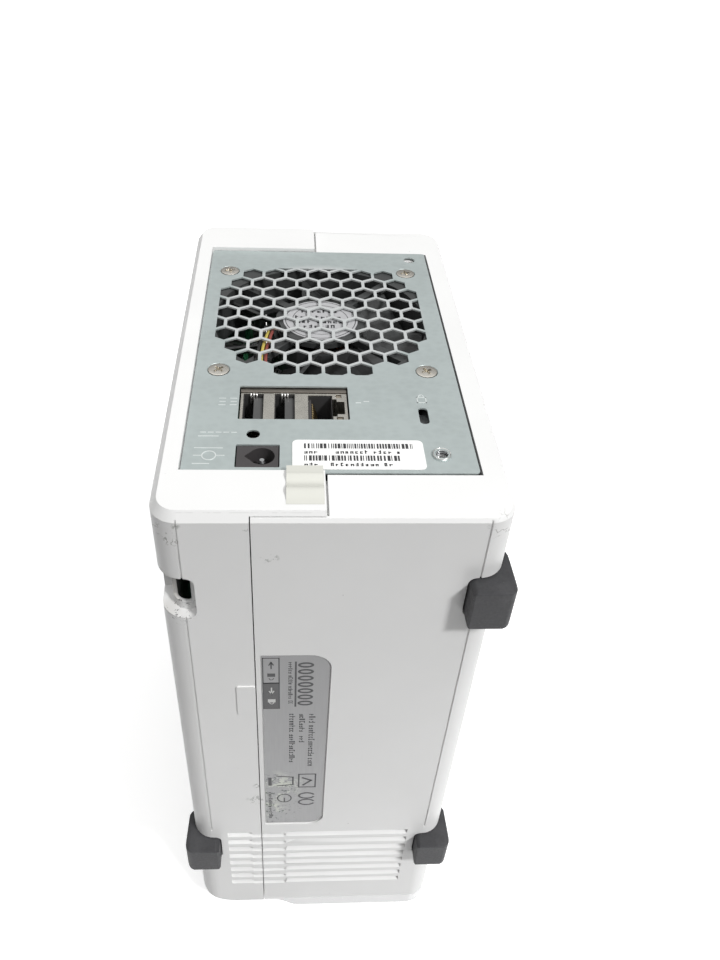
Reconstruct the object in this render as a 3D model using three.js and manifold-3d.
// A two-bay network storage enclosure, standing on its front with the rear panel up.
// Millimetres. +Z runs from the front bezel to the rear panel, -Y is the underside that
// carries the rubber feet, +X is the side of the removable cover. The origin is the centre
// of the footprint, on the surface that the bezel stands on.
import * as THREE from 'three';
import { mergeVertices } from 'three/addons/utils/BufferGeometryUtils.js';
import Module from 'manifold-3d';

const wasm = await Module();
wasm.setup();

// ---------------------------------------------------------------- driving dimensions
const HALF_WIDTH = 44;
const UNDERSIDE_Y = -75;
const TOP_Y = 80;
const REAR_Z = 218; // rim of the base shell
const COVER_REAR_Z = 216.5; // rim of the cover, a step lower
const WALL = 2.5;
const LONG_EDGE_R = 7;
const REAR_CHAMFER = { height: 2.5, inset: 1.8 }; // slanted band round the rear rim
const FRONT_EDGE_R = 3.5;
const FRONT_STEP = 5.4; // how far the bezel stands proud of the button column
const BEZEL_SEAM_Z = 9.5;
const SEAM_X = -20.1; // where base shell and cover meet
const RIM_SEAM_X = -1.9; // where the base shell's rim lip ends
const LIP_Z = 216.8;
const GAP = 0.3;
const HALF_SEAM = 0.15;

const OPENING = { x0: -38, x1: 37.3, y0: -58.8, y1: 61.9 }; // for the rear panel
const LEDGE_Z = 213.4;
const PANEL_Z = 216.4;
const PANEL_T = 0.5;
const PANEL_TOP = PANEL_Z + PANEL_T;

const FAN = { x: -1.1, y: 16.7, size: 70, depth: 15, pitch: 60, duct: 33.4, hub: 14.2 };
const FAN_TOP = PANEL_Z - GAP;
const GRILLE = { pitch: 7.39, flats: 6.4, reach: 35.5, half: 32.3, dy: 2.4 };

const BOARD_X = -26.2; // solder side of the mainboard
const BOARD_T = 1.6;
const BOARD_FACE = BOARD_X + BOARD_T;

const FRONT_FEET_Z = [46.7, 60.5];
const REAR_FEET_Z = [182, 195.8];
const FOOT_RECESS = 3;

const CAGE = { x: -15.2, t: 1, y0: -45.2, y1: 57.2, z0: 24, z1: 176, right: 40.2 };
const COLUMN = { x: -32, halfX: 6.5, y0: -62, y1: 62 }; // button column on the front

// ---------------------------------------------------------------- materials
const finish = (color, roughness, metalness = 0) =>
  new THREE.MeshStandardMaterial({ color, roughness, metalness });
const WHITE = finish(0xe9eaec, 0.42);
const BEZEL_WHITE = finish(0xf1f2f4, 0.25);
const COLUMN_GREY = finish(0xc9ccd0, 0.3);
const PANEL_STEEL = finish(0xb4bec0, 0.5, 0.6);
const ZINC = finish(0xb9bcbd, 0.4, 0.9);
const TIN = finish(0xc4c1b8, 0.35, 0.9);
const NICKEL = finish(0xb8ada0, 0.3, 1);
const RUBBER = finish(0x47484b, 0.8);
const BLACK = finish(0x1b1c1e, 0.5);
const CHIP = finish(0x26272a, 0.6);
const PCB = finish(0x1d5a3c, 0.5);
const ALUMINIUM = finish(0xc6c9cc, 0.35, 0.9);
const COPPER = finish(0xb06a3a, 0.4, 0.9);
const STEEL = finish(0xa5a8ab, 0.3, 1);
const PAPER = finish(0xf6f6f4, 0.6);
const SILVER_FILM = finish(0xa9abad, 0.4, 0.3);
const LENS = finish(0xdfe9e2, 0.2);
const RED = finish(0xb3261e, 0.5);
const YELLOW = finish(0xd9b21c, 0.5);

// ---------------------------------------------------------------- solids
// A closed mesh as a manifold solid, with only its positions kept and shared corners merged.
function toSolid(geometry) {
  const bare = geometry.index ? geometry.toNonIndexed() : geometry.clone();
  bare.deleteAttribute('normal');
  bare.deleteAttribute('uv');
  const merged = mergeVertices(bare, 1e-4);
  return new wasm.Manifold(new wasm.Mesh({
    numProp: 3,
    vertProperties: merged.attributes.position.array,
    triVerts: new Uint32Array(merged.index.array),
  }));
}

function toGeometry(solid) {
  const mesh = solid.getMesh();
  const geometry = new THREE.BufferGeometry();
  geometry.setAttribute('position', new THREE.BufferAttribute(mesh.vertProperties, mesh.numProp));
  geometry.setIndex(new THREE.BufferAttribute(mesh.triVerts, 1));
  geometry.computeVertexNormals();
  return geometry;
}

const join = (...solids) => solids.flat(Infinity).reduce((a, b) => a.add(b));
const cut = (solid, ...tools) => tools.flat(Infinity).reduce((a, b) => a.subtract(b), solid);
const meet = (a, b) => a.intersect(b);

function box(x0, x1, y0, y1, z0, z1) {
  const g = new THREE.BoxGeometry(x1 - x0, y1 - y0, z1 - z0);
  return toSolid(g.translate((x0 + x1) / 2, (y0 + y1) / 2, (z0 + z1) / 2));
}

// An outline extruded from a to b along an axis. The outline's own axes are X,Y for 'z',
// X,Z for 'y' and Y,Z for 'x'. bevel is how far both ends are rounded along the axis, and
// lean how far across it.
const X = new THREE.Vector3(1, 0, 0);
const Y = new THREE.Vector3(0, 1, 0);
const Z = new THREE.Vector3(0, 0, 1);
const BASES = {
  x: new THREE.Matrix4().makeBasis(Y, Z, X),
  y: new THREE.Matrix4().makeBasis(X, Z, Y.clone().negate()),
  z: new THREE.Matrix4(),
};
function extrude(axis, outline, a, b, { bevel = 0, lean = bevel, steps = 3, curve = 4 } = {}) {
  const g = new THREE.ExtrudeGeometry(outline, {
    depth: b - a - 2 * bevel,
    curveSegments: curve,
    bevelEnabled: bevel > 0,
    bevelThickness: bevel,
    bevelSize: lean,
    bevelOffset: -lean,
    bevelSegments: steps,
  });
  g.translate(0, 0, (axis === 'y' ? -b : a) + bevel);
  return toSolid(g.applyMatrix4(BASES[axis]));
}

function polygon(...points) {
  return new THREE.Shape(points.map(([u, v]) => new THREE.Vector2(u, v)));
}

function roundedRect(u0, u1, v0, v1, r) {
  const s = new THREE.Shape();
  s.absarc(u1 - r, v1 - r, r, 0, Math.PI / 2);
  s.absarc(u0 + r, v1 - r, r, Math.PI / 2, Math.PI);
  s.absarc(u0 + r, v0 + r, r, Math.PI, 1.5 * Math.PI);
  s.absarc(u1 - r, v0 + r, r, 1.5 * Math.PI, 2 * Math.PI);
  s.closePath();
  return s;
}

// A round rod along an axis. u, v are the centre in that axis's outline plane.
function rod(axis, u, v, r, a, b, sides = 12) {
  const g = new THREE.CylinderGeometry(r, r, b - a, sides).rotateX(Math.PI / 2);
  g.translate(u, v, (axis === 'y' ? -1 : 1) * (a + b) / 2);
  return toSolid(g.applyMatrix4(BASES[axis]));
}

// A turned solid about +Z at (x, y), from closed (radius, z) profile points.
function turned(x, y, profile, sides = 14) {
  const points = profile.map(([r, z]) => new THREE.Vector2(r, z));
  const g = new THREE.LatheGeometry(points, sides).rotateX(Math.PI / 2);
  return toSolid(g.translate(x, y, 0));
}

// A round wire along a smooth route through the points.
function wire(points, r) {
  const route = new THREE.CatmullRomCurve3(points.map((p) => new THREE.Vector3(...p)));
  const ring = new THREE.Shape();
  ring.absarc(0, 0, r, 0, 2 * Math.PI);
  const g = new THREE.ExtrudeGeometry(ring, {
    steps: 18,
    curveSegments: 3,
    extrudePath: route,
    bevelEnabled: false,
  });
  return toSolid(g);
}

const enclosure = new THREE.Group();
function add(name, solid, material) {
  const mesh = new THREE.Mesh(toGeometry(solid), material);
  mesh.name = name;
  enclosure.add(mesh);
}

// ---------------------------------------------------------------- casing
// The front outline seen from the underside: the button column's flat, an S-shaped step
// and the bezel's flat, with the two front corners rounded.
function frontOutline(inset) {
  const left = -HALF_WIDTH - 0.02 + inset;
  const right = HALF_WIDTH + 0.02 - inset;
  const leftR = 13 - inset;
  const rightR = 9 - inset;
  const s = new THREE.Shape();
  s.moveTo(left, REAR_Z + 20);
  s.lineTo(left, FRONT_STEP + inset + leftR);
  s.absarc(left + leftR, FRONT_STEP + inset + leftR, leftR, Math.PI, 1.5 * Math.PI);
  s.lineTo(-16.5, FRONT_STEP + inset);
  s.bezierCurveTo(-12.5, FRONT_STEP + inset, -11, inset, -7, inset);
  s.lineTo(right - rightR, inset);
  s.absarc(right - rightR, inset + rightR, rightR, 1.5 * Math.PI, 2 * Math.PI);
  s.lineTo(right, REAR_Z + 20);
  s.closePath();
  return s;
}

// The body's solid, shrunk by inset on every side but the rear.
function bodySolid(inset, rearZ, chamfer = { height: 0, inset: 0 }) {
  const plan = roundedRect(
    -HALF_WIDTH + inset, HALF_WIDTH - inset, UNDERSIDE_Y + inset, TOP_Y - inset,
    LONG_EDGE_R - Math.min(inset, 5));
  const along = extrude('z', plan, -20, rearZ,
    { bevel: chamfer.height, lean: chamfer.inset, steps: 1, curve: 5 });
  const across = extrude('y', frontOutline(inset), UNDERSIDE_Y - 0.02 + inset,
    TOP_Y + 0.02 - inset, { bevel: inset ? 0 : FRONT_EDGE_R, steps: 3, curve: 5 });
  return meet(along, across);
}

// Louvres on the underside: each slot's lower wall slopes up and inwards, to a throat.
const LOUVRE = { count: 8, top: 63.8, pitch: 5.35, height: 2.9, throat: 0.6, x0: -32, x1: 31.6 };
const LOUVRE_STEP = { x0: -23.6, x1: -11.7, height: 2, drop: 1.3 };
function louvreSlots() {
  const outside = UNDERSIDE_Y - 1;
  const inside = UNDERSIDE_Y + WALL + 1;
  const slot = (x0, x1, top, height) => {
    const rise = (height - LOUVRE.throat) / WALL;
    const low = top - height;
    return extrude('x', polygon([outside, low - rise], [inside, low + rise * (WALL + 1)],
      [inside, top + LOUVRE.throat + 0.3], [outside, top]), x0, x1);
  };
  const slots = [];
  for (let i = 0; i < LOUVRE.count; i += 1) {
    const top = LOUVRE.top - i * LOUVRE.pitch;
    slots.push(slot(LOUVRE.x0, LOUVRE_STEP.x0, top, LOUVRE.height));
    slots.push(slot(LOUVRE_STEP.x0, LOUVRE_STEP.x1, top - LOUVRE_STEP.drop, LOUVRE_STEP.height));
    slots.push(slot(LOUVRE_STEP.x1, LOUVRE.x1, top, LOUVRE.height));
  }
  return slots;
}

// Plain breathing slots in both side walls.
const SIDE_VENT = { count: 8, y: -52, pitch: 7, width: 2.8, z0: 70, z1: 112 };
function sideVentSlots() {
  const slots = [];
  for (let i = 0; i < SIDE_VENT.count; i += 1) {
    const y = SIDE_VENT.y + i * SIDE_VENT.pitch;
    const z0 = SIDE_VENT.z0 + i * 1.2;
    const outline = roundedRect(y, y + SIDE_VENT.width, z0, SIDE_VENT.z1 + i * 1.2,
      SIDE_VENT.width / 2 - 0.01);
    slots.push(extrude('x', outline, -HALF_WIDTH - 1, -HALF_WIDTH + WALL + 1, { curve: 2 }));
    slots.push(extrude('x', outline, HALF_WIDTH - WALL - 1, HALF_WIDTH + 1, { curve: 2 }));
  }
  return slots;
}

// Fine grooves where the flat underside and top meet the rounded long edges.
function edgeGrooves() {
  const grooves = [];
  for (const x of [-37.3, 37.3]) {
    for (const y of [UNDERSIDE_Y, TOP_Y]) {
      grooves.push(box(x - 0.25, x + 0.25, y - 0.45, y + 0.45, 66, REAR_Z - 1));
    }
  }
  return grooves;
}

// Foot sockets: a recess round the long edge, with a hole for the foot's peg.
const SOCKETS = [
  { side: 1, z: REAR_FEET_Z },
  { side: 1, z: FRONT_FEET_Z },
  { side: -1, z: REAR_FEET_Z },
  { side: -1, z: FRONT_FEET_Z },
];
const inset = (depth) => bodySolid(depth, REAR_Z + 5);
const OUTER_SKIN = inset(0.5);
const RECESS_FLOOR = inset(FOOT_RECESS);
const PAD_FLOOR = inset(FOOT_RECESS + 1);
const sided = (side, a, b) => (side > 0 ? [a, b] : [-b, -a]);

function socketPad({ side, z }) {
  const [x0, x1] = sided(side, 32.2, 50);
  return cut(meet(box(x0, x1, -90, -61.5, z[0] - 2.4, z[1] + 2.4), OUTER_SKIN), PAD_FLOOR);
}
function socketCut({ side, z }) {
  const [x0, x1] = sided(side, 34.4, 50);
  const [h0, h1] = sided(side, 35.8, 43.2);
  const rim = roundedRect(x0, x1, z[0] - 0.5, z[1] + 0.5, 2.4);
  const recess = cut(extrude('y', rim, -90, -63.6), RECESS_FLOOR);
  const hole = roundedRect(h0, h1, z[0] + 2.3, z[1] + 0.2, 1.2);
  return [recess, extrude('y', hole, -90, UNDERSIDE_Y + 6)];
}

// The panel's opening, grown on every side.
const panelHole = (grow, z0, z1) => box(
  OPENING.x0 - grow, OPENING.x1 + grow, OPENING.y0 - grow, OPENING.y1 + grow, z0, z1);

const bossRow = (points, r, x0, x1) => points.map(([y, z]) => rod('x', y, z, r, x0, x1, 10));
const BOARD_BOSSES = [[-56, 60], [-56, 150], [58, 32], [58, 180]];
const CAGE_BOSSES = [[-67, 34], [-67, 158], [71, 34], [71, 158]];
const LED_BOSSES = [[-33, -57], [-33, 57]];
const INNER_LEFT = -HALF_WIDTH + WALL;

function makeBaseShell() {
  const leftHalf = box(-60, SEAM_X - HALF_SEAM, -100, 100, -5, REAR_Z + 5);
  const hollow = bodySolid(WALL, LEDGE_Z);
  let shell = meet(cut(bodySolid(0, REAR_Z, REAR_CHAMFER), hollow), leftHalf);
  const lip = meet(bodySolid(0, REAR_Z, REAR_CHAMFER),
    box(SEAM_X - 2, RIM_SEAM_X - HALF_SEAM, -100, 100, LIP_Z, REAR_Z + 1));
  const sockets = SOCKETS.filter((s) => s.side < 0);
  shell = join(shell, lip, sockets.map(socketPad));
  // A low tab beside the seam marks where the two casing halves line up.
  const tab = roundedRect(SEAM_X - 5.5, SEAM_X - HALF_SEAM, 138, 151.4, 0.6);
  shell = join(shell, extrude('y', tab, UNDERSIDE_Y - 0.4, UNDERSIDE_Y + 1));
  shell = join(shell, bossRow(BOARD_BOSSES, 3, INNER_LEFT - 0.5, BOARD_X - GAP));
  shell = join(shell, bossRow(CAGE_BOSSES, 3.4, INNER_LEFT - 0.5, CAGE.x - GAP));
  shell = join(shell, LED_BOSSES.map(([x, y]) => rod('z', x, y, 3, 7, 15.7, 10)));
  shell = join(shell, LED_BOSSES.map(([x, y]) => rod('z', x, y, 1.3, 15, 18.4, 8)));
  shell = cut(shell, panelHole(0, PANEL_Z - GAP, REAR_Z + 1));
  shell = cut(shell, panelHole(-1.5, LEDGE_Z - 1, PANEL_Z));
  shell = cut(shell, sockets.map(socketCut), louvreSlots(), sideVentSlots(), edgeGrooves());
  shell = cut(shell, bossRow(BOARD_BOSSES, 1.3, -33, BOARD_X + 1));
  shell = cut(shell, bossRow(CAGE_BOSSES, 1.6, -24, CAGE.x + 1));
  // The column panel's seat, and the opening behind it for buttons, lights and socket.
  const seat = roundedRect(COLUMN.x - COLUMN.halfX, COLUMN.x + COLUMN.halfX, COLUMN.y0,
    COLUMN.y1, 4);
  const window = roundedRect(COLUMN.x - 5, COLUMN.x + 5, -52, 52, 3);
  shell = cut(shell, extrude('z', seat, FRONT_STEP - 1, FRONT_STEP + 1.4));
  shell = cut(shell, extrude('z', window, FRONT_STEP - 1, FRONT_STEP + 4));
  add('base_shell', shell, WHITE);
}

const LABEL = { x0: -18.6, x1: 1.1, z0: 69.8, z1: 165.3, depth: 0.8 };
function ratingOutline(grow) {
  const { x0, x1, z0, z1 } = LABEL;
  const s = new THREE.Shape();
  s.moveTo(x0 - grow, z0 - grow);
  s.lineTo(x1 + grow - 5, z0 - grow);
  s.absarc(x1 + grow - 5, z0 - grow + 5, 5, 1.5 * Math.PI, 2 * Math.PI);
  s.absarc(x1 + grow - 6, z1 + grow - 6, 6, 0, Math.PI / 2);
  s.lineTo(x0 - grow, z1 + grow);
  s.closePath();
  return s;
}

function makeCover() {
  const rightHalf = (z0, z1) => box(SEAM_X + HALF_SEAM, 60, -100, 100, z0, z1);
  const outer = meet(bodySolid(0, REAR_Z, REAR_CHAMFER), box(-60, 60, -100, 100, -5, COVER_REAR_Z));
  const hollow = bodySolid(WALL, COVER_REAR_Z - WALL);
  let cover = meet(cut(outer, hollow), rightHalf(BEZEL_SEAM_Z + HALF_SEAM, REAR_Z + 1));
  const sockets = SOCKETS.filter((s) => s.side > 0);
  cover = join(cover, sockets.map(socketPad));
  // Two threaded lugs behind the rear panel take the cover screws.
  const lugTop = PANEL_Z - 2 * GAP;
  const lugs = join(box(28, 34, 53, TOP_Y - 1, 207, lugTop),
    box(24.8, 30.8, UNDERSIDE_Y + 1, -49, 207, lugTop));
  const shelf = COVER_REAR_Z - WALL - 1;
  cover = cut(cover, panelHole(0, PANEL_Z - GAP, REAR_Z + 1), panelHole(GAP, shelf, PANEL_Z));
  // The rim stands clear of the panel's right edge.
  cover = cut(cover, box(30, OPENING.x1 + 0.45, OPENING.y0, OPENING.y1, shelf, REAR_Z));
  cover = join(cover, lugs);
  // The shadow gap where the base shell's rim lip ends, on both rims.
  for (const [y0, y1] of [[UNDERSIDE_Y + 1.5, OPENING.y0 + 1], [OPENING.y1 - 1, TOP_Y - 1.5]]) {
    cover = cut(cover, box(RIM_SEAM_X - 0.3, RIM_SEAM_X + 0.5, y0, y1, COVER_REAR_Z - 1.8, REAR_Z));
  }
  cover = cut(cover, COVER_SCREWS.map((s) => rod('z', s.x, s.y, 1.5, 205, REAR_Z, 14)));
  cover = cut(cover, sockets.map(socketCut), louvreSlots(), sideVentSlots(), edgeGrooves());
  cover = cut(cover, extrude('y', ratingOutline(0), UNDERSIDE_Y - 1, UNDERSIDE_Y + LABEL.depth));
  add('cover_shell', cover, WHITE);

  let bezel = meet(cut(outer, hollow), rightHalf(-5, BEZEL_SEAM_Z - HALF_SEAM));
  const tongue = cut(bodySolid(WALL + GAP, 14), bodySolid(WALL + GAP + 1.4, 20));
  bezel = join(bezel, meet(tongue, box(SEAM_X + 2, 60, -100, 100, 8, 14)));
  bezel = join(bezel, meet(bodySolid(1, 10), cut(
    box(SEAM_X + 2, 60, -100, 100, 7.5, BEZEL_SEAM_Z - HALF_SEAM), bodySolid(WALL + 1.7, 20))));
  add('front_bezel', bezel, BEZEL_WHITE);

  const label = extrude('y', ratingOutline(-GAP), UNDERSIDE_Y + 0.47, UNDERSIDE_Y + 0.75);
  add('rating_label', label, SILVER_FILM);
}

function makeFeet() {
  const foot = (name, side, [z0, z1]) => {
    const s = new THREE.Shape();
    s.moveTo(side * 34.7, -68);
    s.lineTo(side * 34.9, -79.4);
    s.lineTo(side * 35.5, -80);
    s.lineTo(side * 44.4, -80);
    s.quadraticCurveTo(side * 46.5, -79.4, side * 46.8, -76.4);
    s.lineTo(side * 46.2, -66.2);
    s.quadraticCurveTo(side * 45.6, -64.2, side * 43.6, -63.9);
    s.lineTo(side * 38, -63.9);
    s.closePath();
    const [p0, p1] = sided(side, 36.9, 41.1);
    const rounded = roundedRect(...sided(side, 34.7, 46.9), z0 - 0.01, z1 + 0.01, 2);
    const bar = meet(extrude('z', s, z0, z1, { bevel: 0.5, steps: 2 }), extrude('y', rounded, -82, -60));
    const pad = cut(bar, inset(FOOT_RECESS - GAP));
    const peg = box(p0, p1, UNDERSIDE_Y + 1, UNDERSIDE_Y + 5.6, z0 + 2.8, z1 - 3.3);
    add(name, join(pad, peg), RUBBER);
  };
  foot('foot_rear_right', 1, REAR_FEET_Z);
  foot('foot_front_right', 1, FRONT_FEET_Z);
  foot('foot_front_left', -1, FRONT_FEET_Z);
}

// ---------------------------------------------------------------- front column
const POWER_Y = -40;
const COPY_Y = -22;
const FRONT_USB_Y = 0;
const LIGHT_YS = [18, 26, 34, 42];
const LED_BOARD_Z = 16;

function makeFrontColumn() {
  const { x, halfX, y0, y1 } = COLUMN;
  const z0 = FRONT_STEP;
  const plate = roundedRect(x - halfX + GAP, x + halfX - GAP, y0 + GAP, y1 - GAP, 3.7);
  let panel = extrude('z', plate, z0 - 0.4, z0 + 1.1);
  panel = cut(panel, rod('z', x, POWER_Y, 4.9, z0 - 1, z0 + 2, 24));
  panel = cut(panel, rod('z', x, COPY_Y, 3.8, z0 - 1, z0 + 2, 20));
  panel = cut(panel, box(x - 2.9, x + 2.9, FRONT_USB_Y - 6.9, FRONT_USB_Y + 6.9, z0 - 1, z0 + 2));
  panel = cut(panel, LIGHT_YS.map((y) => rod('z', x, y, 1.5, z0 - 1, z0 + 2, 14)));
  add('column_panel', panel, COLUMN_GREY);

  const button = (name, y, r) => add(name, join(
    turned(x, y, [[0, z0 - 0.9], [r - 0.5, z0 - 0.9], [r, z0 - 0.4], [r, z0 + 2], [0, z0 + 2]], 20),
    rod('z', x, y, 1.4, z0 + 1.5, 12.2, 12)), ALUMINIUM);
  button('power_button', POWER_Y, 4.6);
  button('copy_button', COPY_Y, 3.5);

  const board = box(-41, -27, -62, 62, LED_BOARD_Z, LED_BOARD_Z + 1.6);
  add('front_board', cut(board, LED_BOSSES.map(([bx, by]) => rod('z', bx, by, 1.6, 15, 19, 10))), PCB);
  [['power_switch', POWER_Y], ['copy_switch', COPY_Y]].forEach(([name, y]) => add(name,
    join(box(x - 3, x + 3, y - 3, y + 3, 14, LED_BOARD_Z - 0.05), rod('z', x, y, 1.6, 13.5, 14.5, 12)),
    CHIP));
  add('light_pipe', join(LIGHT_YS.map((y) => rod('z', x, y, 1.2, z0 - 0.3, 12.5)),
    box(x - 1.8, x + 1.8, LIGHT_YS[0] - 2, LIGHT_YS.at(-1) + 2, 12, 13.6)), LENS);

  const socket = box(x - 2.6, x + 2.6, FRONT_USB_Y - 6.6, FRONT_USB_Y + 6.6, z0 + 0.2, LED_BOARD_Z - 0.05);
  add('front_usb_shell', cut(socket, box(x - 2.2, x + 2.2, FRONT_USB_Y - 6.2, FRONT_USB_Y + 6.2,
    z0 - 1, LED_BOARD_Z - 2)), TIN);
  add('front_usb_tongue', box(x - 1.6, x + 0.2, FRONT_USB_Y - 5.6, FRONT_USB_Y + 5.6, z0 + 1,
    LED_BOARD_Z - 2.1), PAPER);
}

// ---------------------------------------------------------------- rear panel
const PORTS = { x0: -24.6, x1: 5.4, y0: -36.7, y1: -21.4 };
const JACK = { x0: -24.5, x1: -13.3, y0: -56.5, y1: -47.5, holeX: -17.8, holeY: -51.8 };
const RESET = { x: -20.25, y: -43.15, r: 1.8 };
const LOCK = { x0: 24.2, x1: 26.8, y0: -38.4, y1: -31.2 };
const COVER_SCREWS = [{ x: 31.2, y: 56.6, r: 2 }, { x: 28.1, y: -51.5, r: 1.7 }];
const SCREW_XY = [[-1, 1], [1, 1], [-1, -1], [1, -1]].map(
  ([sx, sy]) => [FAN.x + sx * FAN.pitch / 2, FAN.y + sy * FAN.pitch / 2]);

// Hexagonal holes with upright sides, in rows about the grille's centre. Four flats cut
// into the outermost ones.
function grilleHoles() {
  const { pitch, flats, reach, half, dy } = GRILLE;
  const rowStep = pitch * Math.sqrt(3) / 2;
  const corner = flats / Math.sqrt(3);
  const holes = [];
  for (let row = -5; row <= 5; row += 1) {
    for (let k = -9; k <= 9; k += 1) {
      const x = k * pitch / 2;
      const y = row * rowStep;
      if ((k + row) % 2 !== 0 || Math.hypot(x, y) > reach) continue;
      const points = [];
      for (let i = 0; i < 6; i += 1) {
        const a = Math.PI / 6 + i * Math.PI / 3;
        points.push([FAN.x + x + corner * Math.cos(a), FAN.y + dy + y + corner * Math.sin(a)]);
      }
      holes.push(extrude('z', polygon(...points), PANEL_Z - 1, PANEL_TOP + 1));
    }
  }
  return meet(join(holes), box(FAN.x - half, FAN.x + half, FAN.y - half, FAN.y + half,
    PANEL_Z - 2, PANEL_TOP + 2));
}

function makeRearPanel() {
  const { x0, x1, y0, y1 } = OPENING;
  const plate = roundedRect(x0 + GAP, x1 - GAP, y0 + GAP, y1 - GAP, 1);
  let panel = extrude('z', plate, PANEL_Z, PANEL_TOP, { curve: 3 });
  const ring = COVER_SCREWS[1];
  panel = join(panel, turned(ring.x, ring.y, [
    [0, PANEL_Z], [2.5, PANEL_Z], [2.5, PANEL_TOP + 0.2], [2.1, PANEL_TOP + 0.5],
    [0, PANEL_TOP + 0.5]], 20));
  const through = (s) => extrude('z', s, PANEL_Z - 1, PANEL_TOP + 2, { curve: 3 });
  panel = cut(panel, grilleHoles());
  panel = cut(panel, through(roundedRect(PORTS.x0, PORTS.x1, PORTS.y0, PORTS.y1, 0.4)));
  panel = cut(panel, through(roundedRect(JACK.x0, JACK.x1, JACK.y0, JACK.y1, 0.4)));
  panel = cut(panel, through(roundedRect(LOCK.x0, LOCK.x1, LOCK.y0, LOCK.y1, 1.2)));
  panel = cut(panel, rod('z', RESET.x, RESET.y, RESET.r, 214, 219, 16));
  panel = cut(panel, COVER_SCREWS.map((s) => rod('z', s.x, s.y, s.r, 214, 219, 14)));
  panel = cut(panel, SCREW_XY.map(([x, y]) => turned(x, y, [
    [0, 214], [2.1, 214], [2.1, PANEL_Z - 0.9], [3.5, PANEL_TOP + 0.1], [3.5, 219], [0, 219]])));
  add('rear_panel', panel, PANEL_STEEL);

  const turns = [0.3, 0.2, 0.75, 0.5];
  SCREW_XY.forEach(([x, y], i) => {
    const screw = turned(x, y, [[0, 206], [1.7, 206], [1.7, PANEL_Z - 0.15], [3.1, PANEL_TOP],
      [2.6, PANEL_TOP + 0.15], [0, PANEL_TOP + 0.2]]);
    const slot = (turn) => {
      const bar = new THREE.BoxGeometry(3.2, 0.84, 2).rotateZ(turn);
      return toSolid(bar.translate(x, y, PANEL_TOP + 0.2));
    };
    add(`fan_screw_${i + 1}`, cut(screw, slot(turns[i]), slot(turns[i] + Math.PI / 2)), NICKEL);
  });

  const sticker = roundedRect(-10.1, 23.7, -57.4, -45.7, 1.5);
  add('serial_label', extrude('z', sticker, PANEL_TOP + 0.05, PANEL_TOP + 0.2, { curve: 3 }), PAPER);

  const lockPlate = box(20.5, 30.5, -41.5, -30, 212.6, 213.6);
  const lockTab = box(20.5, 22.5, -41.5, -30, 213.5, PANEL_Z - 0.05);
  add('lock_bracket', join(lockPlate, lockTab), ZINC);
}

// The cord clip: a thin wavy strip over the near rim, with two ridges across it.
function makeCordClip() {
  const s = new THREE.Shape();
  s.moveTo(-71.2, REAR_Z + 0.05);
  s.lineTo(-70.6, REAR_Z + 0.1);
  s.quadraticCurveTo(-69, REAR_Z + 0.25, -67.6, REAR_Z + 0.9);
  s.quadraticCurveTo(-66.6, REAR_Z + 1.25, -65.6, REAR_Z + 0.8);
  s.quadraticCurveTo(-64.2, REAR_Z + 0.1, -63.2, REAR_Z + 0.3);
  s.quadraticCurveTo(-62.4, REAR_Z + 0.5, -61.6, REAR_Z + 0.95);
  s.quadraticCurveTo(-60.9, REAR_Z + 1.1, -60.4, REAR_Z + 0.85);
  s.lineTo(-57.8, REAR_Z + 0.7);
  s.lineTo(-57.8, REAR_Z - 0.1);
  s.lineTo(-58.9, REAR_Z + 0.05);
  s.closePath();
  add('cord_clip', extrude('x', s, -11.6, -2.5, { curve: 4 }), WHITE);
}

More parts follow.
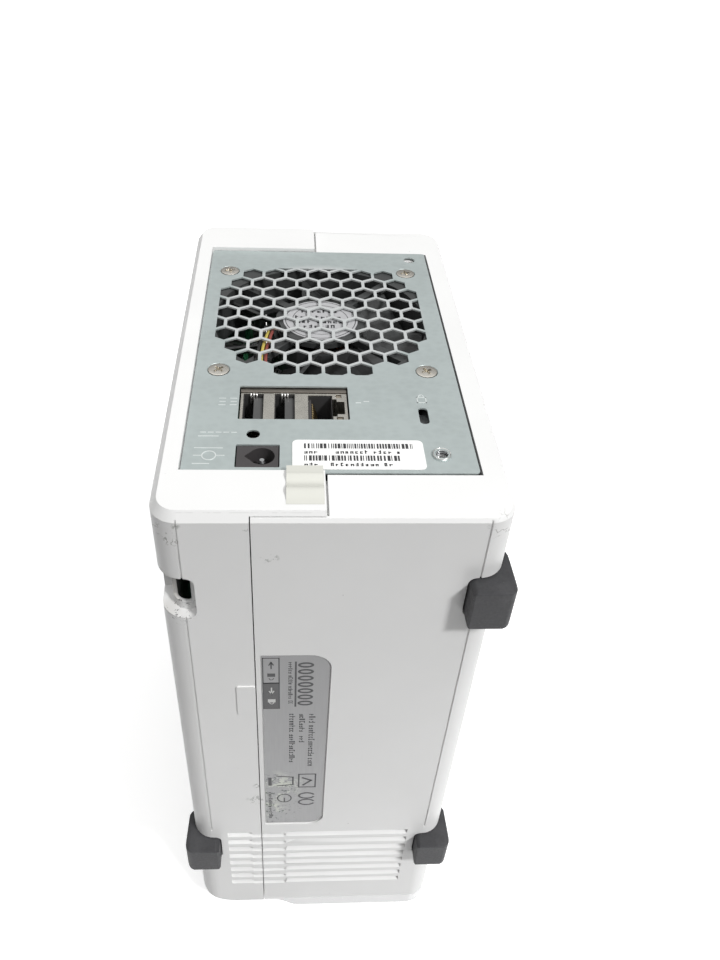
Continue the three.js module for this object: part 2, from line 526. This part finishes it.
// ---------------------------------------------------------------- fan
function makeFan() {
  const { x, y, size, depth, duct, hub } = FAN;
  const h = size / 2;
  const z0 = FAN_TOP - depth;
  let frame = extrude('z', roundedRect(x - h, x + h, y - h, y + h, 3), z0, FAN_TOP, { curve: 3 });
  frame = cut(frame, rod('z', x, y, duct, z0 - 1, FAN_TOP + 1, 36));
  const hubDisc = rod('z', x, y, hub, FAN_TOP - 2, FAN_TOP - 0.35, 28);
  const struts = [0.84, 2.41, 3.98, 5.55].map((a) => {
    const bar = new THREE.BoxGeometry(duct - 5, 2.6, 2.2);
    bar.translate((duct + 7) / 2 + 1, 0, 0).rotateZ(a).translate(x, y, FAN_TOP - 1.7);
    return toSolid(bar);
  });
  frame = join(frame, hubDisc, struts, rod('z', x, y, 4, z0 + 4, FAN_TOP - 1.9, 20));
  frame = cut(frame, rod('z', x, y, 3, z0 + 3, FAN_TOP - 3.2, 20));
  frame = cut(frame, SCREW_XY.map(([sx, sy]) => rod('z', sx, sy, 2.1, z0 - 1, FAN_TOP + 1, 12)));
  // A channel from the hub and out across the near side takes the leads under the panel.
  const channel = polygon([-21.4, -19], [-16.9, -19], [-16.8, -2], [-15.6, 7], [-13.4, 12.4],
    [-14.8, 17], [-20.6, 13], [-21.4, 2]);
  frame = cut(frame, extrude('z', channel, FAN_TOP - 1.8, FAN_TOP + 1));
  frame = cut(frame, box(-21.4, -16.9, -19, -16.6, FAN_TOP - 3.8, FAN_TOP + 1));
  add('fan_frame', frame, BLACK);

  const bush = rod('z', x, y, 2.7, z0 + 4.4, FAN_TOP - 4, 20);
  add('fan_bearing', cut(bush, rod('z', x, y, 1.56, z0, FAN_TOP, 20)), COPPER);

  const core = rod('z', x, y, 6.6, z0 + 5, z0 + 10, 14);
  const poles = [0, 1, 2, 3].map((i) => {
    const arm = new THREE.BoxGeometry(11.2, 5.6, 4.4).translate(5.6, 0, 0);
    return toSolid(arm.rotateZ(i * Math.PI / 2).translate(x, y, z0 + 7.5));
  });
  add('fan_stator', cut(join(core, poles), rod('z', x, y, 4.3, z0, FAN_TOP, 14)), COPPER);

  // Rotor: a cup with seven pitched blades, its open side to the stator.
  const cup = cut(rod('z', x, y, 15, z0 + 1, FAN_TOP - 4, 24),
    rod('z', x, y, 13.8, z0 + 2.4, FAN_TOP, 24), rod('z', x, y, 1.52, z0, FAN_TOP, 20));
  const section = new THREE.Shape();
  section.moveTo(-7.4, 0);
  section.quadraticCurveTo(0, 2.4, 7.4, 0);
  section.lineTo(7.2, -0.5);
  section.quadraticCurveTo(0, 1.1, -7.2, -0.9);
  section.closePath();
  const blades = Array.from({ length: 7 }, (_, i) => {
    const g = new THREE.ExtrudeGeometry(section, { depth: 20, curveSegments: 3, bevelEnabled: false });
    g.rotateZ(0.68).translate(0, 0, 14.2).rotateX(-Math.PI / 2);
    g.rotateZ(i * 2 * Math.PI / 7).translate(x, y, z0 + 6.8);
    return toSolid(g);
  });
  const tip = rod('z', x, y, duct - 0.9, z0 + 0.8, FAN_TOP - 3.8, 42);
  add('fan_rotor', join(cup, meet(join(blades), cut(tip, rod('z', x, y, 14.4, z0, FAN_TOP, 24)))),
    BLACK);
  add('rotor_magnet', cut(rod('z', x, y, 13.4, z0 + 3, FAN_TOP - 4.4, 20),
    rod('z', x, y, 12.2, z0, FAN_TOP, 20)), CHIP);
  add('fan_shaft', rod('z', x, y, 1.48, z0 + 1.2, FAN_TOP - 4.4, 16), STEEL);
  add('fan_hub_label', rod('z', x, y, 11.8, FAN_TOP - 0.3, FAN_TOP - 0.15, 28), SILVER_FILM);

  // Three leads run from the hub out over the frame's near side and down, over the top edge
  // of the mainboard, to the plug. Each lies d beside the first and 1.6 d along the plug.
  const top = FAN_TOP - 1;
  const route = (d) => [
    [-15.9 - 0.9 * d, 12 + 0.6 * d, top], [-16.9 - d, 6.4, top], [-17.8 - d, -1, top],
    [-17.9 - d, -9, top], [-17.9 - d, -16.4, top - 0.1], [-17.9 - d, -19.5, top - 1.6],
    [-17.9 - d, -20.1, top - 5], [-17.9 - d, -20.1, 204], [-18.2 - 0.9 * d, -19.7 - 0.2 * d, 199.6],
    [-19.8 - 0.5 * d, -16.6 - 0.8 * d, 196.4], [-21.2, -12.6 - 1.4 * d, 191],
    [-21.2, -10.4 - 1.6 * d, 187], [-21.2, -10.4 - 1.6 * d, 184]];
  [['fan_lead_red', RED], ['fan_lead_yellow', YELLOW], ['fan_lead_black', BLACK]]
    .forEach(([name, material], i) => add(name, wire(route(1.25 * i), 0.5), material));
  add('fan_plug', box(BOARD_FACE + 0.05, BOARD_FACE + 6, -16, -7.6, 176, 183.4), PAPER);
}

// ---------------------------------------------------------------- mainboard
function makeMainboard() {
  const s = polygon([-64, 14.5], [66, 14.5], [66, 197], [-20.5, 197], [-20.5, 212], [-62, 212],
    [-62, 204], [-64, 202]);
  let board = extrude('x', s, BOARD_X, BOARD_FACE);
  board = cut(board, bossRow(BOARD_BOSSES, 1.7, BOARD_X - 1, BOARD_FACE + 1));
  board = cut(board, CAGE_BOSSES.map(([y, z]) => rod('x', y, z, 3.8, BOARD_X - 1, BOARD_FACE + 1, 12)));
  add('mainboard', board, PCB);
  BOARD_BOSSES.forEach(([y, z], i) => add(`mainboard_screw_${i + 1}`, join(
    rod('x', y, z, 1.2, BOARD_X - 5.5, BOARD_FACE + 0.2, 10),
    rod('x', y, z, 2.7, BOARD_FACE + 0.05, BOARD_FACE + 1.7, 12)), STEEL));

  const onBoard = (y0, y1, z0, z1, h) =>
    box(BOARD_FACE + 0.05, BOARD_FACE + h, y0, y1, z0, z1);
  add('processor', onBoard(8, 36, 96, 124, 2.2), CHIP);
  const fins = Array.from({ length: 8 }, (_, i) =>
    box(BOARD_FACE + 3.4, BOARD_FACE + 7.6, 5.5 + i * 4.35, 7 + i * 4.35, 93, 127));
  add('heat_sink', join(box(BOARD_FACE + 2.3, BOARD_FACE + 3.6, 5.5, 38, 93, 127), fins), ALUMINIUM);
  add('memory_chip', onBoard(-14, -3, 102, 116, 1.3), CHIP);

  // Stacked network and USB connector, with a step along its top edge.
  const { x0, x1, y0, y1 } = PORTS;
  const faceZ = PANEL_Z - 0.6;
  let shield = box(x0 + GAP, x1 - GAP, y0 + GAP, y1 - GAP, 194, faceZ);
  shield = cut(shield, box(x0, x1, y1 - 1.9, y1, faceZ - 0.8, faceZ + 1));
  const usbY = -29.55;
  [-23.5, -14.9].forEach((ux, i) => {
    shield = cut(shield, box(ux, ux + 5.5, usbY - 6.05, usbY + 6.05, 203, faceZ + 1));
    add(`usb_tongue_${i + 1}`, box(ux + 2.8, ux + 5.2, usbY - 5.6, usbY + 5.6, 203.05, 214.6), CHIP);
  });
  const lanY = -29.85;
  shield = cut(shield, box(-5.7, 1, lanY - 5.75, lanY + 5.75, 201, faceZ + 1));
  shield = cut(shield, box(0.9, 2.2, lanY - 4, lanY + 4, 201, faceZ + 1));
  shield = cut(shield, box(2.1, 4.3, lanY - 2.9, lanY + 2.9, 201, faceZ + 1));
  // Windows for the two link lights.
  shield = cut(shield, box(2, 3.6, -25.3, -23.7, faceZ - 1, faceZ + 1));
  shield = cut(shield, box(2, 3.8, -35.6, -34, faceZ - 1, faceZ + 1));
  add('port_shield', shield, TIN);
  add('lan_insert', join(box(-5.6, -2.4, lanY - 5.6, lanY + 5.6, 201.05, 205),
    box(-5.6, -4.8, lanY - 5.6, lanY + 5.6, 204, 214.5)), BLACK);

  // DC jack: its hole runs out to a point on one side.
  const { holeX, holeY } = JACK;
  let jack = box(JACK.x0 + GAP, JACK.x1 - GAP, JACK.y0 + GAP, JACK.y1 - GAP, 202, PANEL_TOP - 0.3);
  jack = cut(jack, rod('z', holeX, holeY, 3.3, 205.5, 218, 20));
  jack = cut(jack, extrude('z', polygon([holeX - 4.5, holeY], [holeX - 1.8, holeY - 2.7],
    [holeX - 1.8, holeY + 2.7]), 213, 218));
  add('dc_jack_body', jack, BLACK);
  add('dc_jack_pin', turned(holeX, holeY, [[0, 205.55], [1, 205.55], [1, 214.8], [0.6, 215.4],
    [0, 215.4]], 14), STEEL);

  const body = box(BOARD_FACE + 0.05, RESET.x + 3.4, RESET.y - 3, RESET.y + 3, 206, 212.8);
  add('reset_switch', cut(body, rod('z', RESET.x, RESET.y, 1.5, 207.5, 214, 12)), CHIP);
  add('reset_button', rod('z', RESET.x, RESET.y, 1.2, 208.8, 214.8, 12), BLACK);
}

// ---------------------------------------------------------------- drive cage
function makeDriveCage() {
  const { x, t, y0, y1, z0, z1, right } = CAGE;
  let cage = join(
    box(x, x + t, y0 - t, y1 + t, z0, z1),
    box(x, right, y0 - t, y0, z0, z1),
    box(x, right, y1, y1 + t, z0, z1));
  const tabs = CAGE_BOSSES.map(([y, z]) => box(x, x + t, Math.min(y - 4, y1), Math.max(y + 4, y0),
    z - 8, z + 8));
  cage = join(cage, tabs.map((tab, i) => meet(tab, CAGE_BOSSES[i][0] < 0
    ? box(-50, 50, -80, y0 - t + 0.5, 0, 218) : box(-50, 50, y1 + t - 0.5, 80, 0, 218))));
  cage = cut(cage, CAGE_BOSSES.map(([y, z]) => rod('x', y, z, 2, x - 1, x + t + 1, 10)));
  // Cooling windows in the back wall, and drive screw holes in the two side walls.
  const windows = [-32, -6, 20].flatMap(
    (y) => [52, 104].map((z) => box(x - 1, x + t + 1, y, y + 20, z, z + 36)));
  cage = cut(cage, windows);
  for (const bayX of [0, 27]) {
    for (const z of [60, 101.5]) {
      cage = cut(cage, rod('y', bayX - 7, z, 1.9, y0 - 2, y0 + 1, 8),
        rod('y', bayX - 7, z, 1.9, y1 - 1, y1 + 2, 8));
    }
  }
  add('drive_cage', cage, ZINC);
  CAGE_BOSSES.forEach(([y, z], i) => add(`cage_screw_${i + 1}`, join(
    rod('x', y, z, 1.5, -23, x + t + 0.2, 10),
    rod('x', y, z, 3, x + t + 0.05, x + t + 1.9, 12)), STEEL));

  // A small board across the front end carries the drives' connectors.
  add('drive_board', box(-17.8, 38, -16, 34, 18.4, 20), PCB);
  add('board_link', cut(box(BOARD_FACE + 0.05, -16, -12, 30, 16.4, 22),
    box(-18.1, -15, -16.5, 34.5, 18.1, 20.3)), BLACK);
  [-0.6, 26.4].forEach((cx, i) => {
    const shell = box(cx - 3.2, cx + 3.2, -12, 30, 20.05, 28.5);
    add(`drive_connector_${i + 1}`, cut(shell, box(cx - 1.2, cx + 1.2, -10.5, 12, 23, 30),
      box(cx - 1.2, cx + 1.2, 14, 28.5, 23, 30)), BLACK);
  });
}

makeBaseShell();
makeCover();
makeFeet();
makeFrontColumn();
makeRearPanel();
makeCordClip();
makeFan();
makeMainboard();
makeDriveCage();

export default enclosure;
